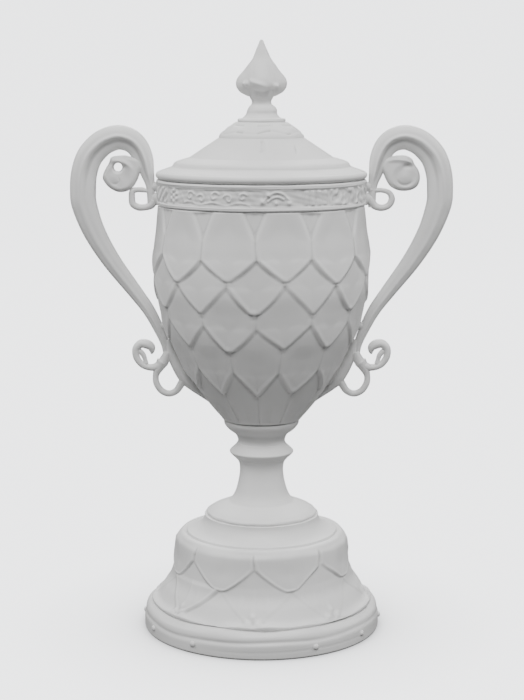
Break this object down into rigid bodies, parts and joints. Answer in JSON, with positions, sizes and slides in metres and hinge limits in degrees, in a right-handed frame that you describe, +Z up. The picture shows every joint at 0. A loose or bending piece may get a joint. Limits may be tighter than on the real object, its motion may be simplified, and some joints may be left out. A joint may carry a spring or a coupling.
{
  "type": "cup trophy",
  "caption": "Covered urn-shaped cup with scrolled side handles and a lift-off lid with a bud finial, on a waisted stem and a bell-shaped foot.",
  "frame": {"origin": "middle of the flat underside, in the plane that the trophy stands on", "axes": "+Z up along the axis of the cup, +X towards one handle, so the handles lie in the XZ plane, and -Y the front"},
  "size_m": [0.2698, 0.1704, 0.42],
  "materials": {
    "cast_metal": "matte",
    "fixings": "satin",
    "felt": "felt",
    "board": "raw fibreboard"
  },
  "bodies": {
    "root": {"felt_pad": "felt", "base_board": "board", "foot_rim": "cast_metal", "rim_studs": "cast_metal", "bell": "cast_metal", "cove_ring": "cast_metal", "stem": "cast_metal", "knop": "cast_metal", "cup_socket": "cast_metal", "bowl": "cast_metal", "rim_band": "cast_metal", "upper_bead": "cast_metal", "lower_bead": "cast_metal", "tie_rod": "fixings", "bowl_washer": "fixings", "bowl_nut": "fixings", "base_washer": "fixings", "base_nut": "fixings", "left_handle": "cast_metal", "left_volute": "cast_metal", "left_ring": "cast_metal", "left_curl": "cast_metal", "left_loop": "cast_metal", "left_strap": "cast_metal", "left_band_pad": "cast_metal", "left_bowl_pad": "cast_metal", "right_handle": "cast_metal", "right_volute": "cast_metal", "right_ring": "cast_metal", "right_curl": "cast_metal", "right_loop": "cast_metal", "right_strap": "cast_metal", "right_band_pad": "cast_metal", "right_bowl_pad": "cast_metal"},
    "lid": {"lid_shell": "cast_metal", "lid_rim_wire": "cast_metal", "lid_bezel": "cast_metal", "finial_base": "cast_metal", "finial_bud": "cast_metal", "finial_lobes": "cast_metal", "finial_stud": "fixings", "lid_washer": "fixings", "lid_nut": "fixings"}
  },
  "joints": [
    {"name": "lid_lift", "type": "slide", "parent": "root", "child": "lid", "axis": [0, 0, 1], "range_m": [0, 0.1]}
  ]
}
